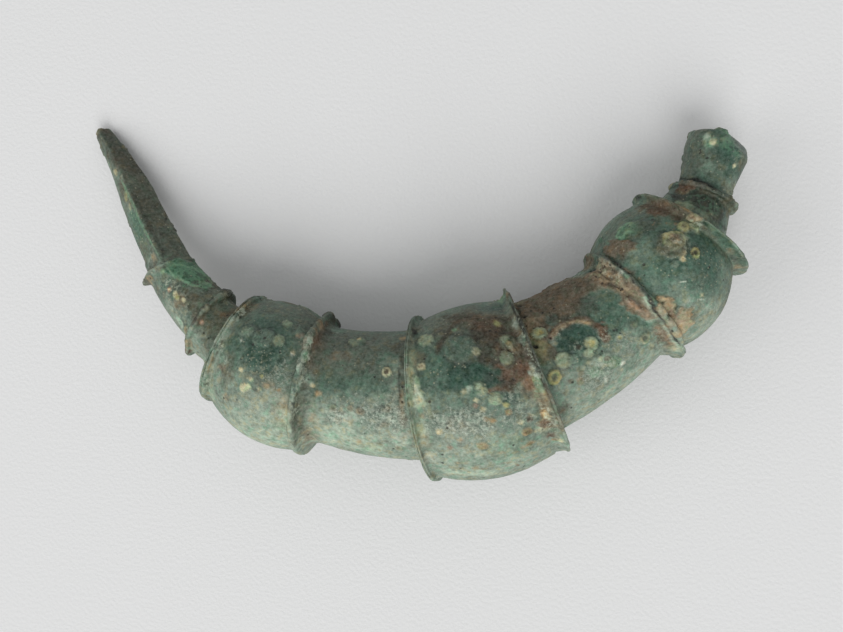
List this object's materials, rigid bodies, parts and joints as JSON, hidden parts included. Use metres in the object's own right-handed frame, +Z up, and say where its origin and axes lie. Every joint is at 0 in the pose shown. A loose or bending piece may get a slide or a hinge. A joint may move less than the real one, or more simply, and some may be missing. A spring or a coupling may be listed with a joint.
{
  "type": "fibula brooch bow",
  "caption": "Cast bronze bow of an ancient fibula brooch, broken at both ends, with swollen beads between disc collars and a green patina.",
  "frame": {"origin": "centre of the bounding box, on the plane that the lying bow rests on", "axes": "+Z up through the bow as it lies on its side, +X along its longest side towards the broken stem, +Y towards the open side of the bow"},
  "size_m": [0.0692, 0.0366, 0.0172],
  "materials": {
    "patinated_bronze": "old cast bronze under a satin green patina with warts, soil crust and brown stains"
  },
  "bodies": {
    "root": {"fibula_bow": "patinated_bronze"}
  },
  "joints": []
}
